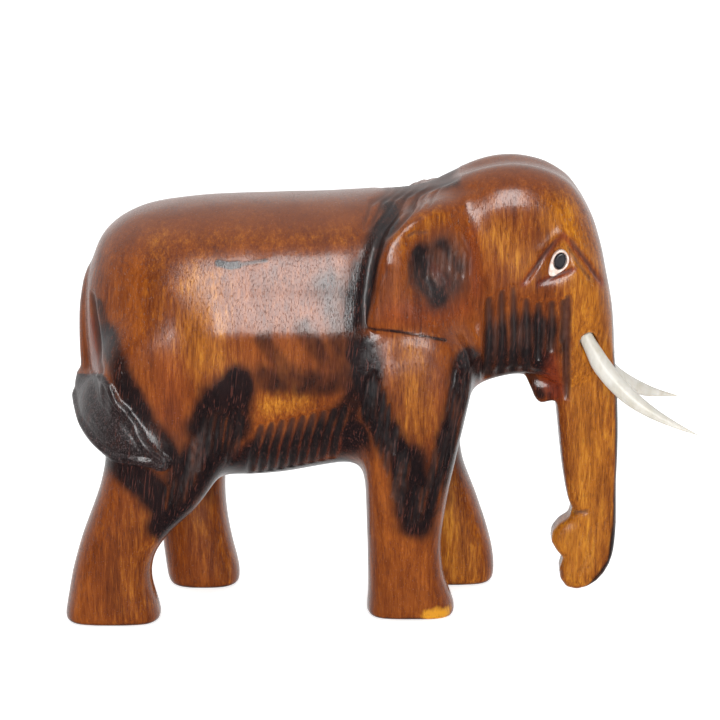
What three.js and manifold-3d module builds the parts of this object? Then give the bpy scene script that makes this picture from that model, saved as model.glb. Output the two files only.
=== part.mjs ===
// Carved wooden elephant: one block of hardwood with two tusks and two inlaid eyes.
// Millimetres. +X is where the trunk points, +Z is up, and the soles stand on Z = 0.
// Side-view outlines are [x, z] pairs; the block is symmetrical in y except for the stride of
// the legs and the tail tuft, which swings to the right side (-y).

import * as THREE from 'three';
import { mergeVertices } from 'three/addons/utils/BufferGeometryUtils.js';
import Module from 'manifold-3d';

const wasm = await Module();
wasm.setup();

// ---------------------------------------------------------------- driving dimensions

const BODY_HALF_WIDTH = 27;          // at the middle of the belly
const RUMP_NARROWING = 3;            // lost from the half width towards the tail
const NECK_NARROWING = 8;            // lost from the half width towards the head
const BODY_ROUNDING = 34;            // how far in from the outline the section turns over

const HEAD_HALF_WIDTH = 16;
const SNOUT_HALF_WIDTH = 9.4;        // where the head turns into the trunk
const HEAD_ROUNDING = 15;

const HIP_CENTRE_Y = 18;
const HIP_HALF_WIDTH = 10.4;
const FOOT_HALF_WIDTH = 9;
const LEG_ROUNDING = 9.5;
const HIP_Z = 70;                    // above this the legs stand straight
const SOLE_BELOW_GROUND = 4;         // the leg outlines run past the ground and are sawn off flat

const TRUNK_HALF_WIDTH_TOP = 9;
const TRUNK_HALF_WIDTH_TIP = 5.4;
const TRUNK_TOP_Z = 85;
const TRUNK_TIP_Z = 20;
const TRUNK_EDGE = 3.4;

const EAR_OUTER_Y = 27.4;            // the ear's rear edge stands proud of the shoulder
const EAR_INNER_Y = 8;
const EAR_ROUNDING = 3.4;
const EAR_BOWL = { centre: [24.4, -24.6, 110.6], radii: [8.6, 4.6, 12] };

const FIT_GAP = 0.3;                 // clearance between a let-in piece and its pocket

const TUSK_BASE_RADIUS = 2.2;
const TUSK_SWELL = 0.65;             // how much thicker the tusk is before it tapers
const TUSK_TIP_RADIUS = 0.3;
const TUSK_SOCKET = 0.34;            // the part of the tusk's length that its drilled socket follows

const EYE = { x: 58.6, z: 108.6, depth: 1.6, proud: 0.5 };
const PUPIL = { x: 58.4, z: 109.2, halfWidth: 1.65, halfHeight: 2.4, tilt: -0.3, depth: 1.1, proud: 0.75 };

const WOOD = new THREE.MeshStandardMaterial({ color: 0x9a4a1c, roughness: 0.35, metalness: 0 });
const IVORY_WHITE = new THREE.MeshStandardMaterial({ color: 0xf3efe6, roughness: 0.3, metalness: 0 });
const EYE_WHITE = new THREE.MeshStandardMaterial({ color: 0xf0e6dc, roughness: 0.4, metalness: 0 });
const PUPIL_BLACK = new THREE.MeshStandardMaterial({ color: 0x15131a, roughness: 0.3, metalness: 0 });

// ---------------------------------------------------------------- small helpers

const lerp = THREE.MathUtils.lerp;
const smoothstep = (from, to, value) => {
  const t = THREE.MathUtils.clamp((value - from) / (to - from), 0, 1);
  return t * t * (3 - 2 * t);
};

// A smooth closed curve through hand-placed [x, z] points, sampled evenly.
function smoothOutline(points, samples) {
  const curve = new THREE.CatmullRomCurve3(points.map(([x, z]) => new THREE.Vector3(x, 0, z)), true);
  return curve.getSpacedPoints(samples).slice(0, samples).map((p) => new THREE.Vector2(p.x, p.z));
}

// Signed distance from (x, z) to a closed outline, negative inside.
function outlineDistance(outline, x, z) {
  let nearest = Infinity;
  let inside = false;
  for (let i = 0, j = outline.length - 1; i < outline.length; j = i, i += 1) {
    const a = outline[i];
    const b = outline[j];
    const ex = b.x - a.x;
    const ez = b.y - a.y;
    const wx = x - a.x;
    const wz = z - a.y;
    const t = THREE.MathUtils.clamp((wx * ex + wz * ez) / (ex * ex + ez * ez), 0, 1);
    nearest = Math.min(nearest, Math.hypot(wx - ex * t, wz - ez * t));
    if ((a.y > z) !== (b.y > z) && x < ((b.x - a.x) * (z - a.y)) / (b.y - a.y) + a.x) {
      inside = !inside;
    }
  }
  return inside ? -nearest : nearest;
}

// A sawn slab carved round: its section across y is a superellipse that starts turning over
// `rounding` inside the outline. A fullness of 2 is an ellipse and more is boxier.
function carvedSlab(outline, centreY, halfWidth, rounding, fullness) {
  return (x, y, z) => {
    const width = halfWidth(x, z);
    const side = Math.max(1 + outlineDistance(outline, x, z) / rounding, 0);
    const face = Math.abs(y - centreY(x, z)) / width;
    return ((side ** fullness + face ** fullness) ** (1 / fullness) - 1) * Math.min(rounding, width);
  };
}

function ellipsoid(centre, radii) {
  const smallest = Math.min(...radii);
  return (x, y, z) => {
    const r = Math.hypot((x - centre[0]) / radii[0], (y - centre[1]) / radii[1], (z - centre[2]) / radii[2]);
    return (r - 1) * smallest;
  };
}

// Two fields joined with a fillet about as wide as `blend`.
function smoothUnion(a, b, blend) {
  const h = Math.max(blend - Math.abs(a - b), 0) / blend;
  return Math.min(a, b) - (h * h * blend) / 4;
}

const smoothCut = (a, b, blend) => -smoothUnion(-a, b, blend);

// ---------------------------------------------------------------- solids in and out of manifold

// The same surface with positions only and its shared corners merged.
function weldedCopy(geometry) {
  const bare = geometry.clone();
  bare.deleteAttribute('normal');
  bare.deleteAttribute('uv');
  return mergeVertices(bare, 1e-4);
}

function toSolid(geometry) {
  const merged = weldedCopy(geometry);
  return new wasm.Manifold(new wasm.Mesh({
    numProp: 3,
    vertProperties: new Float32Array(merged.attributes.position.array),
    triVerts: new Uint32Array(merged.index.array),
  }));
}

function toGeometry(solid) {
  const mesh = solid.getMesh();
  const geometry = new THREE.BufferGeometry();
  geometry.setAttribute('position', new THREE.BufferAttribute(mesh.vertProperties, 3));
  geometry.setIndex(new THREE.BufferAttribute(mesh.triVerts, 1));
  geometry.computeVertexNormals();
  return geometry;
}

// The copy for the other side of the head, with its faces turned to point out again.
function mirrored(geometry) {
  const copy = weldedCopy(geometry).scale(1, -1, 1);
  const corners = Array.from(copy.index.array);
  for (let i = 0; i < corners.length; i += 3) {
    [corners[i + 1], corners[i + 2]] = [corners[i + 2], corners[i + 1]];
  }
  copy.setIndex(corners);
  return copy;
}

// ---------------------------------------------------------------- the block as a smooth field

const TORSO = smoothOutline([
  [-76.5, 54], [-80, 66], [-81.4, 80], [-81.6, 94], [-79.8, 106], [-74.8, 115.8], [-64.5, 121.8],
  [-48, 124.6], [-25, 125.6], [-5, 126.2], [12, 127.8], [26, 128.6], [37, 122], [41, 104], [38, 84],
  [30, 64], [20, 51], [6, 46], [-8, 44.5], [-22, 42], [-36, 41], [-50, 43], [-65, 46],
], 72);

const HEAD = smoothOutline([
  [26, 127], [33, 131.5], [43, 134], [52, 133.8], [60.6, 130.6], [66.6, 123.8], [70.6, 114], [73.1, 103],
  [75.2, 92], [76, 82], [76, 73], [71, 67], [64, 66], [57, 69], [48.6, 72], [40, 71], [32, 71.2],
  [25, 80], [20, 98], [20, 114],
], 64);

const LEGS = {
  rightFront: smoothOutline([
    [2.6, -SOLE_BELOW_GROUND], [2.4, 6], [2.2, 22], [1.6, 40], [0.8, 56], [0.6, 72], [6, 88], [20, 93],
    [31, 86], [33, 74], [30.6, 60], [27.6, 46], [25.4, 33], [24.2, 21], [25.8, 10], [28.4, 3],
    [27.6, -SOLE_BELOW_GROUND],
  ], 48),
  leftFront: smoothOutline([
    [17.5, -SOLE_BELOW_GROUND], [16, 6], [14, 20], [11, 36], [6, 52], [3, 70], [10, 86], [24, 90],
    [32, 80], [31, 64], [30.4, 50], [31.6, 39], [35, 30], [38.4, 20], [41, 11], [41.8, 3],
    [39.5, -SOLE_BELOW_GROUND],
  ], 48),
  rightHind: smoothOutline([
    [-87.4, -SOLE_BELOW_GROUND], [-87.6, 5], [-85.2, 18], [-81.4, 30], [-77, 42], [-75, 54], [-77, 70],
    [-73, 86], [-60, 92], [-47, 84], [-39.5, 70], [-38.6, 56], [-42.6, 44], [-49, 34.4], [-57.8, 26],
    [-62.4, 17], [-61.2, 8], [-59.4, 2], [-61, -SOLE_BELOW_GROUND],
  ], 54),
  leftHind: smoothOutline([
    [-57, -SOLE_BELOW_GROUND], [-59.8, 4], [-61, 14], [-62.6, 28], [-68, 42], [-75, 56], [-76, 72], [-66, 84],
    [-52, 84], [-43, 72], [-40, 58], [-40.6, 44], [-41.6, 30], [-40.6, 19], [-38.4, 9], [-37, 2],
    [-39.5, -SOLE_BELOW_GROUND],
  ], 48),
};

const torsoHalfWidth = (x) => BODY_HALF_WIDTH
  - RUMP_NARROWING * smoothstep(-50, -80, x)
  - NECK_NARROWING * smoothstep(-10, 32, x);

const headHalfWidth = (x, z) => {
  const towardsTrunk = smoothstep(50, 68, x) * smoothstep(106, 70, z);
  return lerp(HEAD_HALF_WIDTH, SNOUT_HALF_WIDTH, towardsTrunk);
};

// A leg's centre line leans from its hip to where its foot stands.
const legCentre = (footY) => (x, z) => lerp(footY, Math.sign(footY) * HIP_CENTRE_Y, smoothstep(0, HIP_Z, z));

const legHalfWidth = (x, z) => lerp(FOOT_HALF_WIDTH, HIP_HALF_WIDTH, smoothstep(0, HIP_Z, z));

const carvedLeg = (outline, footY) => (
  carvedSlab(outline, legCentre(footY), legHalfWidth, LEG_ROUNDING, 2.6)
);

const torso = carvedSlab(TORSO, () => 0, torsoHalfWidth, BODY_ROUNDING, 2.5);
const head = carvedSlab(HEAD, () => 0, headHalfWidth, HEAD_ROUNDING, 2.9);
const skullDomes = [-1, 1].map((side) => ellipsoid([44.4, side * 7.4, 125], [18, 9.2, 11.6]));
const legs = [
  carvedLeg(LEGS.rightFront, -13.8),
  carvedLeg(LEGS.rightHind, -19.2),
  carvedLeg(LEGS.leftFront, 17.4),
  carvedLeg(LEGS.leftHind, 14.6),
];

function blockField(x, y, z) {
  let field = torso(x, y, z);
  let skull = head(x, y, z);
  skullDomes.forEach((dome) => { skull = smoothUnion(skull, dome(x, y, z), 3); });
  field = smoothUnion(field, skull, 7);
  legs.forEach((leg) => { field = smoothUnion(field, leg(x, y, z), 6); });
  return field;
}

// Grid lines from the given [until, step] stretches, finer where the carving is finer.
function gridLines(start, stretches) {
  const lines = [start];
  stretches.forEach(([until, step]) => {
    const count = Math.round((until - lines.at(-1)) / step);
    const from = lines.at(-1);
    for (let i = 1; i <= count; i += 1) {
      lines.push(lerp(from, until, i / count));
    }
  });
  return lines;
}

// Surface net: one vertex for each cell that the surface crosses, one quad for each grid edge.
function surfaceNet(field, xs, ys, zs) {
  const [nx, ny, nz] = [xs.length, ys.length, zs.length];
  const at = (i, j, k) => (i * ny + j) * nz + k;
  const values = new Float64Array(nx * ny * nz);
  xs.forEach((x, i) => ys.forEach((y, j) => zs.forEach((z, k) => { values[at(i, j, k)] = field(x, y, z); })));

  const positions = [];
  const vertexOf = new Int32Array(nx * ny * nz).fill(-1);
  const corners = [];
  for (let c = 0; c < 8; c += 1) {
    corners.push([c & 1, (c >> 1) & 1, (c >> 2) & 1]);
  }
  const cellEdges = [];
  for (let c = 0; c < 8; c += 1) {
    [1, 2, 4].filter((bit) => !(c & bit)).forEach((bit) => cellEdges.push([corners[c], corners[c | bit]]));
  }
  for (let i = 0; i < nx - 1; i += 1) {
    for (let j = 0; j < ny - 1; j += 1) {
      for (let k = 0; k < nz - 1; k += 1) {
        const sum = new THREE.Vector3();
        let crossings = 0;
        cellEdges.forEach(([a, b]) => {
          const va = values[at(i + a[0], j + a[1], k + a[2])];
          const vb = values[at(i + b[0], j + b[1], k + b[2])];
          if ((va < 0) === (vb < 0)) return;
          const t = va / (va - vb);
          sum.x += lerp(xs[i + a[0]], xs[i + b[0]], t);
          sum.y += lerp(ys[j + a[1]], ys[j + b[1]], t);
          sum.z += lerp(zs[k + a[2]], zs[k + b[2]], t);
          crossings += 1;
        });
        if (crossings > 0) {
          vertexOf[at(i, j, k)] = positions.length / 3;
          positions.push(...settle(field, sum.divideScalar(crossings)));
        }
      }
    }
  }
  return netGeometry(field, values, vertexOf, positions, [nx, ny, nz], at);
}

// Moves a point onto the surface along the field's slope.
function settle(field, point) {
  const step = 0.05;
  for (let round = 0; round < 4; round += 1) {
    const value = field(point.x, point.y, point.z);
    const slope = new THREE.Vector3(
      field(point.x + step, point.y, point.z) - field(point.x - step, point.y, point.z),
      field(point.x, point.y + step, point.z) - field(point.x, point.y - step, point.z),
      field(point.x, point.y, point.z + step) - field(point.x, point.y, point.z - step),
    ).divideScalar(2 * step);
    point.addScaledVector(slope, -0.8 * value / Math.max(slope.lengthSq(), 0.2));
  }
  return point.toArray();
}

// Each quad is split along the diagonal that lies closer to the surface.
function netGeometry(field, values, vertexOf, positions, [nx, ny, nz], at) {
  const vertex = (n) => new THREE.Vector3().fromArray(positions, 3 * n);
  const index = [];
  const addQuad = (a, b, c, d, flip) => {
    const quad = flip ? [a, d, c, b] : [a, b, c, d];
    const points = quad.map(vertex);
    const diagonalError = (p, q) => Math.abs(field(...p.clone().add(q).multiplyScalar(0.5).toArray()));
    if (diagonalError(points[0], points[2]) < diagonalError(points[1], points[3])) {
      index.push(quad[0], quad[1], quad[2], quad[0], quad[2], quad[3]);
    } else {
      index.push(quad[1], quad[2], quad[3], quad[1], quad[3], quad[0]);
    }
  };
  const [ex, ey, ez] = [[1, 0, 0], [0, 1, 0], [0, 0, 1]];
  const axes = [[ex, ey, ez], [ey, ez, ex], [ez, ex, ey]];
  for (let i = 1; i < nx - 1; i += 1) {
    for (let j = 1; j < ny - 1; j += 1) {
      for (let k = 1; k < nz - 1; k += 1) {
        axes.forEach(([along, u, v]) => {
          const here = values[at(i, j, k)] < 0;
          const there = values[at(i + along[0], j + along[1], k + along[2])] < 0;
          if (here === there) return;
          const back = (axis, start, s, t) => start - s * u[axis] - t * v[axis];
          const cell = (s, t) => vertexOf[at(back(0, i, s, t), back(1, j, s, t), back(2, k, s, t))];
          addQuad(cell(1, 1), cell(0, 1), cell(0, 0), cell(1, 0), !here);
        });
      }
    }
  }
  const geometry = new THREE.BufferGeometry();
  geometry.setAttribute('position', new THREE.Float32BufferAttribute(positions, 3));
  geometry.setIndex(index);
  return geometry;
}

// ---------------------------------------------------------------- crisp pieces of the block

// An outline sawn out across y with its edges eased, lying between two y planes.
function easedPlate(outline, fromY, toY, ease, steps = 2) {
  const shape = new THREE.Shape(outline);
  const geometry = new THREE.ExtrudeGeometry(shape, {
    depth: toY - fromY - 2 * ease,
    bevelEnabled: true,
    bevelSize: ease,
    bevelOffset: -ease,
    bevelThickness: ease,
    bevelSegments: steps,
    curveSegments: 1,
  });
  geometry.rotateX(Math.PI / 2);
  return geometry.translate(0, toY - ease, 0);
}

// Changes y at each vertex by a factor of its x and z.
function tapered(geometry, factor) {
  const position = geometry.attributes.position;
  for (let i = 0; i < position.count; i += 1) {
    position.setY(i, position.getY(i) * factor(position.getX(i), position.getZ(i)));
  }
  return geometry;
}

// An elliptical bar along a 3D curve; `section(t)` gives its two radii, across and outwards.
function carvedBar(path, section, outwards, rings, sides) {
  const positions = [];
  const index = [];
  const centre = new THREE.Vector3();
  for (let r = 0; r <= rings; r += 1) {
    const t = r / rings;
    path.getPoint(t, centre);
    const tangent = path.getTangent(t);
    const out = outwards.clone().addScaledVector(tangent, -outwards.dot(tangent)).normalize();
    const across = new THREE.Vector3().crossVectors(tangent, out);
    const [acrossRadius, outRadius] = section(t);
    for (let s = 0; s < sides; s += 1) {
      const angle = (2 * Math.PI * s) / sides;
      const point = centre.clone()
        .addScaledVector(across, acrossRadius * Math.cos(angle))
        .addScaledVector(out, outRadius * Math.sin(angle));
      positions.push(...point.toArray());
    }
  }
  for (let r = 0; r < rings; r += 1) {
    for (let s = 0; s < sides; s += 1) {
      const next = (s + 1) % sides;
      const [a, b] = [r * sides + s, r * sides + next];
      const [c, d] = [a + sides, b + sides];
      index.push(a, d, b, a, c, d);
    }
  }
  [0, rings].forEach((r) => {
    const hub = positions.length / 3;
    positions.push(...path.getPoint(r / rings).toArray());
    for (let s = 0; s < sides; s += 1) {
      const [a, b] = [r * sides + s, r * sides + ((s + 1) % sides)];
      index.push(...(r === 0 ? [hub, a, b] : [hub, b, a]));
    }
  });
  const geometry = new THREE.BufferGeometry();
  geometry.setAttribute('position', new THREE.Float32BufferAttribute(positions, 3));
  geometry.setIndex(index);
  return geometry;
}

const vector = ([x, y, z]) => new THREE.Vector3(x, y, z);

function trunk() {
  const outline = smoothOutline([
    [61, 102], [69, 102], [73.2, 94], [75.4, 82], [77, 66], [77.6, 50], [77.4, 36], [77.6, 22], [76.4, 13],
    [72.8, 6.8], [67.4, 3.6], [63, 4.2], [60.6, 8.6], [61.8, 13.6], [58.8, 17], [58, 20.6], [60.4, 24.4],
    [64.4, 27.6], [62.8, 33], [61.2, 42], [59.8, 54], [58.6, 66], [58.6, 86],
  ], 66);
  const plate = easedPlate(outline, -TRUNK_HALF_WIDTH_TOP, TRUNK_HALF_WIDTH_TOP, TRUNK_EDGE);
  return tapered(plate, (x, z) => {
    const towardsTip = THREE.MathUtils.clamp((TRUNK_TOP_Z - z) / (TRUNK_TOP_Z - TRUNK_TIP_Z), 0, 1);
    return lerp(1, TRUNK_HALF_WIDTH_TIP / TRUNK_HALF_WIDTH_TOP, towardsTip);
  });
}

function lowerLip() {
  const outline = smoothOutline([
    [44, 80], [48.4, 73.4], [51, 68], [53.6, 63], [57.6, 63.8], [61, 64.4], [62, 74], [56, 82],
  ], 24);
  return easedPlate(outline, -6.5, 6.5, 1.6);
}

// The ear is a wedge: level with the head at its front root, proud of the shoulder behind.
const EAR = smoothOutline([
  [33, 128.8], [24, 127.8], [16.6, 126], [10.6, 122.6], [6.6, 117.4], [4.2, 110], [2.6, 101], [1.8, 93.4],
  [3.4, 89.8], [11, 88.6], [20, 88], [30, 89.6], [37, 97], [39.4, 110], [38, 122],
], 60);

const earOuter = (x, z) => {
  const towardsCrown = smoothstep(110, 134, z);
  const towardsRoot = smoothstep(16, 39, x);
  return EAR_OUTER_Y * (1 - 0.3 * towardsCrown) * (1 - 0.4 * towardsRoot);
};
const earSlab = carvedSlab(
  EAR,
  (x, z) => -(earOuter(x, z) + EAR_INNER_Y) / 2,
  (x, z) => (earOuter(x, z) - EAR_INNER_Y) / 2,
  EAR_ROUNDING,
  3.2,
);
const earBowl = ellipsoid(EAR_BOWL.centre, EAR_BOWL.radii);

function rightEar() {
  const field = (x, y, z) => smoothCut(earSlab(x, y, z), earBowl(x, y, z), 2);
  return surfaceNet(
    field,
    gridLines(-4, [[44, 2.6]]),
    gridLines(-33, [[-6, 2.6]]),
    gridLines(82, [[134, 3]]),
  );
}

function tail() {
  const path = new THREE.CatmullRomCurve3([
    [-74, 0, 108], [-78.4, 0, 102], [-80.6, -0.5, 93], [-81.2, -1, 82], [-81, -2, 72],
  ].map(vector));
  return carvedBar(path, (t) => [lerp(4.6, 3.4, t), lerp(3.4, 2.6, t)], new THREE.Vector3(-1, 0, 0), 12, 12);
}

function tailTuft() {
  const path = new THREE.CatmullRomCurve3([
    [-80, -2, 74], [-79.8, -6.5, 68.6], [-77.8, -14.6, 64.2], [-72.4, -23, 59.4], [-65.4, -27, 54.8],
    [-58.2, -26.8, 50.6],
  ].map(vector));
  const section = (t) => {
    const swell = Math.sqrt(Math.max(Math.sin(Math.PI * (0.12 + 0.86 * t)), 0));
    return [9.2 * swell * (1 - 0.28 * t), 4.4 * swell];
  };
  return carvedBar(path, section, new THREE.Vector3(-0.55, -0.8, 0), 18, 16);
}

// ---------------------------------------------------------------- tusks and eyes

// Each tusk was bent and set by hand, so the left one hangs a little lower in its middle.
const TUSK_PATHS = {
  right: new THREE.CatmullRomCurve3([
    [66.6, -9.4, 85.2], [68.7, -11, 81.4], [71.7, -13, 76.4], [78.2, -16.6, 69.4], [84.5, -19, 64.9],
    [92, -20.6, 61], [99.6, -21.8, 57.8],
  ].map(vector)),
  left: new THREE.CatmullRomCurve3([
    [67, 9.2, 84.2], [68.7, 10.6, 79.8], [71.6, 12.2, 73.8], [78.1, 15, 66.1], [87.4, 18.6, 60.5],
    [92.4, 20.4, 58.9], [98.2, 22, 57.6],
  ].map(vector)),
};

function tuskRadius(t) {
  const swell = TUSK_BASE_RADIUS + TUSK_SWELL * smoothstep(0.08, 0.34, t);
  return lerp(swell, TUSK_TIP_RADIUS, smoothstep(0.36, 1.2, t) / smoothstep(0.36, 1.2, 1));
}

function tuskSolid(fullPath, clearance, endAt) {
  const section = (t) => {
    const radius = tuskRadius(t * endAt) + clearance;
    return [radius, radius];
  };
  const path = endAt < 1 ? partOf(fullPath, endAt, clearance) : fullPath;
  const rings = Math.round(22 * endAt) + 2;
  return carvedBar(path, section, new THREE.Vector3(0, -1, 0), rings, 12);
}

// The first part of a path, started a little earlier to leave clearance under a tenon.
function partOf(path, endAt, lead) {
  const samples = 12;
  const start = path.getPoint(0).addScaledVector(path.getTangent(0), -lead);
  const points = [start];
  for (let i = 1; i <= samples; i += 1) {
    points.push(path.getPoint((endAt * i) / samples));
  }
  return new THREE.CatmullRomCurve3(points);
}

function almond(clearance) {
  const points = [
    [-3.4, -3.6], [-3, 0.2], [-1.8, 2.9], [0.1, 4], [1.9, 2.8], [2.5, 0.6], [1.7, -1.4], [-0.5, -3.1],
    [-2.3, -4.1],
  ];
  const scale = 1 + clearance / 3.2;
  return smoothOutline(points.map(([x, z]) => [EYE.x + x * scale, EYE.z + z * scale]), 28);
}

function oval(clearance) {
  const curve = new THREE.EllipseCurve(
    PUPIL.x, PUPIL.z, PUPIL.halfWidth + clearance, PUPIL.halfHeight + clearance,
    0, 2 * Math.PI, false, PUPIL.tilt,
  );
  return curve.getPoints(20).slice(0, 20);
}

function buildEye(surfaceY) {
  const white = toSolid(easedPlate(almond(0), surfaceY - EYE.proud, surfaceY + EYE.depth, 0.35))
    .subtract(toSolid(easedPlate(oval(FIT_GAP), surfaceY - 4, surfaceY + PUPIL.depth, 0.01, 1)));
  const pupil = easedPlate(oval(0), surfaceY - PUPIL.proud, surfaceY + PUPIL.depth - FIT_GAP, 0.3);
  const pocket = easedPlate(almond(FIT_GAP), surfaceY - 6, surfaceY + EYE.depth + FIT_GAP, 0.01, 1);
  return { white: toGeometry(white), pupil, pocket };
}

// The y of the block's right-hand surface at a side-view place, found by bisection.
function rightSurfaceY(x, z) {
  let [inside, outside] = [0, -60];
  for (let i = 0; i < 30; i += 1) {
    const middle = (inside + outside) / 2;
    if (blockField(x, middle, z) < 0) {
      inside = middle;
    } else {
      outside = middle;
    }
  }
  return inside;
}

// ---------------------------------------------------------------- assembly

function carveBody(eyePocket) {
  const net = surfaceNet(
    blockField,
    gridLines(-98, [[20, 5.4], [84, 3.8]]),
    gridLines(-36, [[36, 4]]),
    gridLines(-12, [[58, 5], [142, 4.2]]),
  );
  const ground = new THREE.BoxGeometry(300, 200, 40).translate(0, 0, -20);
  const ear = rightEar();
  const sockets = Object.values(TUSK_PATHS).map((path) => tuskSolid(path, FIT_GAP, TUSK_SOCKET));
  const added = [trunk(), lowerLip(), ear, mirrored(ear), tail(), tailTuft()];
  const removed = [...sockets, eyePocket, mirrored(eyePocket), ground];
  let solid = toSolid(net);
  added.forEach((piece) => { solid = solid.add(toSolid(piece)); });
  removed.forEach((piece) => { solid = solid.subtract(toSolid(piece)); });
  return toGeometry(solid);
}

function namedMesh(name, geometry, material) {
  const mesh = new THREE.Mesh(geometry, material);
  mesh.name = name;
  return mesh;
}

function buildElephant() {
  const eye = buildEye(rightSurfaceY(EYE.x, EYE.z));
  const elephant = new THREE.Group();
  elephant.add(
    namedMesh('elephant_body', carveBody(eye.pocket), WOOD),
    namedMesh('tusk_right', tuskSolid(TUSK_PATHS.right, 0, 1), IVORY_WHITE),
    namedMesh('tusk_left', tuskSolid(TUSK_PATHS.left, 0, 1), IVORY_WHITE),
    namedMesh('eye_white_right', eye.white, EYE_WHITE),
    namedMesh('eye_white_left', mirrored(eye.white), EYE_WHITE),
    namedMesh('pupil_right', eye.pupil, PUPIL_BLACK),
    namedMesh('pupil_left', mirrored(eye.pupil), PUPIL_BLACK),
  );
  const box = new THREE.Box3().setFromObject(elephant);
  const centre = box.getCenter(new THREE.Vector3());
  elephant.position.set(-centre.x, -centre.y, -box.min.z);
  return elephant;
}

export default buildElephant();
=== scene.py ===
"""Carved wooden elephant: the looks of the block, the tusks and the inlaid eyes.

Lengths are millimetres in the row frame, and a side-view place is an (x, z) pair. The two sides of
the block are carved alike, so a stroke is cut into both, except where its function says otherwise.
"""
import math

import bpy
import numpy as np
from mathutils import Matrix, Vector


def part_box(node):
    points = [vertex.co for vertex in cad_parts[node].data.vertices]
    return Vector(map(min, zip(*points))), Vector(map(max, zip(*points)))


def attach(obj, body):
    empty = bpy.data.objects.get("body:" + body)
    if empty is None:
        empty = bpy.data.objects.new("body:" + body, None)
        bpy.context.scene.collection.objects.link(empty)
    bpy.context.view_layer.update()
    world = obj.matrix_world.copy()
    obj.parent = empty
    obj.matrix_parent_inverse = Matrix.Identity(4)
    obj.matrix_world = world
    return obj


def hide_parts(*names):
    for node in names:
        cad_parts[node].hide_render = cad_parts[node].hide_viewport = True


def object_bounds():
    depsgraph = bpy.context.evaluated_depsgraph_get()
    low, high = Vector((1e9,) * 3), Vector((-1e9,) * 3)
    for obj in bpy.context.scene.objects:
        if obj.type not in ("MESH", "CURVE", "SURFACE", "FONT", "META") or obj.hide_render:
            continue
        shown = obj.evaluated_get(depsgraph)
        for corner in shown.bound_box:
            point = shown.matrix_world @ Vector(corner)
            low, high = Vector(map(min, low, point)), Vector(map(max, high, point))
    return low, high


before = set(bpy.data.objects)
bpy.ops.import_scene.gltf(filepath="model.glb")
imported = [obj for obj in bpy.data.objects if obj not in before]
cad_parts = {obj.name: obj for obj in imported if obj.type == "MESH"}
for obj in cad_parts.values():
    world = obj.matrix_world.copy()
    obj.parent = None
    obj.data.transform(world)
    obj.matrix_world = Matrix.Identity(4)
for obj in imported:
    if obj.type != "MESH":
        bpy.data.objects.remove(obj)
cad_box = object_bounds()

MM = 0.001
BLOCK_VOXEL = 0.62
INLAY_VOXEL = 0.16
TUSK_VOXEL = 0.25

# rounds of smoothing: the fewer, the crisper
BROAD_ROUNDS = 90
MUSCLE_ROUNDS = 340
CRISP_ROUNDS = 12
TRUNK_TIP_ROUNDS = 4
TUSK_ROUNDS = 24
EYE_WHITE_ROUNDS = 3
PUPIL_ROUNDS = 4

MIDDLE_TONE = 0.52
# dark stain in cuts and pores, also used as painted shade along the ear's rear edge
DARK_STAIN_AND_SHADE = (0.045, 0.012, 0.006, 1)
SCRATCHED_CHAR = (0.11, 0.032, 0.022, 1)
END_GRAIN_SPECK = (0.12, 0.095, 0.095, 1)
BARE_WOOD = (0.60, 0.26, 0.012, 1)

# metres, except the angle and the lens
CAMERA_TARGET = (-0.00575, 0.00035, 0.075)
CAMERA_DISTANCE = 0.9
CAMERA_PITCH = 15
CAMERA_LENS = 150

scene = bpy.context.scene
rng = np.random.default_rng(7)


# ---------------------------------------------------------------- shapes as arrays


def smoothstep(low, high, value):
    t = np.clip((value - low) / (high - low), 0, 1)
    return t * t * (3 - 2 * t)


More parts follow.
